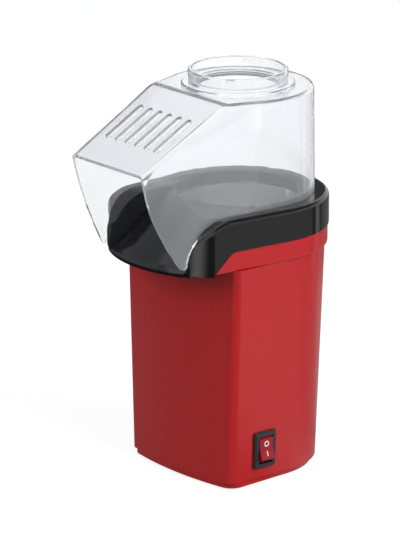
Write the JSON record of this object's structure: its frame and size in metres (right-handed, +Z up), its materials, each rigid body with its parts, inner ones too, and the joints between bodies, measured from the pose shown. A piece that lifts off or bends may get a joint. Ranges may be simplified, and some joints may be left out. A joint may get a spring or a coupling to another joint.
{
  "type": "popcorn maker",
  "caption": "Hot-air popcorn maker: tapered D-shaped tower, black collar with a sloping chute, clear lift-off hood with a hooded spout, rocker switch on one side.",
  "frame": {"origin": "on the plane that the feet stand on, under the middle of the bounding box", "axes": "+Z up, the spout points to -Y, the switch is on +X"},
  "size_m": [0.117, 0.165, 0.2616],
  "materials": {
    "red_shell": "glossy moulded plastic",
    "black_gloss": "glossy moulded plastic",
    "clear_hood": "clear moulded plastic",
    "black_satin": "satin moulded plastic",
    "red_switch": "glossy, slightly translucent plastic",
    "rubber": "matt",
    "steel": "plated",
    "sheet_steel": "plain sheet",
    "aluminium": "spun sheet",
    "mica": "pressed mica board",
    "nichrome": "heat-tinted wire",
    "ferrite": "sintered",
    "cream_plastic": "moulded",
    "brass": "plain",
    "copper_core": "wound copper on steel",
    "circuit_board": "laminate"
  },
  "bodies": {
    "housing": {"body_shell": "red_shell", "base_plate": "red_shell", "upper_band": "red_shell", "collar": "black_gloss", "switch_housing": "black_satin", "rubber_feet": "rubber", "base_screws": "steel", "collar_screws": "steel", "chamber_screws": "steel", "housing_screws": "steel", "motor_screws": "steel", "popping_chamber": "aluminium", "heater_sleeve": "sheet_steel", "heater_board_wide": "mica", "heater_board_deep": "mica", "heater_coil": "nichrome", "thermostat": "black_satin", "thermal_fuse": "sheet_steel", "fan_housing": "black_satin", "motor_can": "sheet_steel", "motor_magnets": "ferrite", "motor_end_cap": "cream_plastic", "motor_bushes": "brass", "rectifier_board": "circuit_board", "rectifier_diodes": "black_satin", "switch_terminals": "brass", "cord_bush": "rubber"},
    "lid": {"hood": "clear_hood"},
    "rocker": {"switch_rocker": "red_switch"},
    "rotor": {"motor_shaft": "steel", "motor_rotor": "copper_core", "impeller": "black_satin"}
  },
  "joints": [
    {"name": "hood_lift", "type": "slide", "parent": "housing", "child": "lid", "axis": [0, 0, 1], "range_m": [0, 0.04]},
    {"name": "rocker_tilt", "type": "hinge", "parent": "housing", "child": "rocker", "pos_m": [0.04982, 0.00305, 0.02396], "axis": [0, 1, 0], "range_deg": [0, 22]},
    {"name": "fan_spin", "type": "hinge", "parent": "housing", "child": "rotor", "pos_m": [0, 0.02405, 0.06], "axis": [0, 0, 1], "continuous": true}
  ]
}
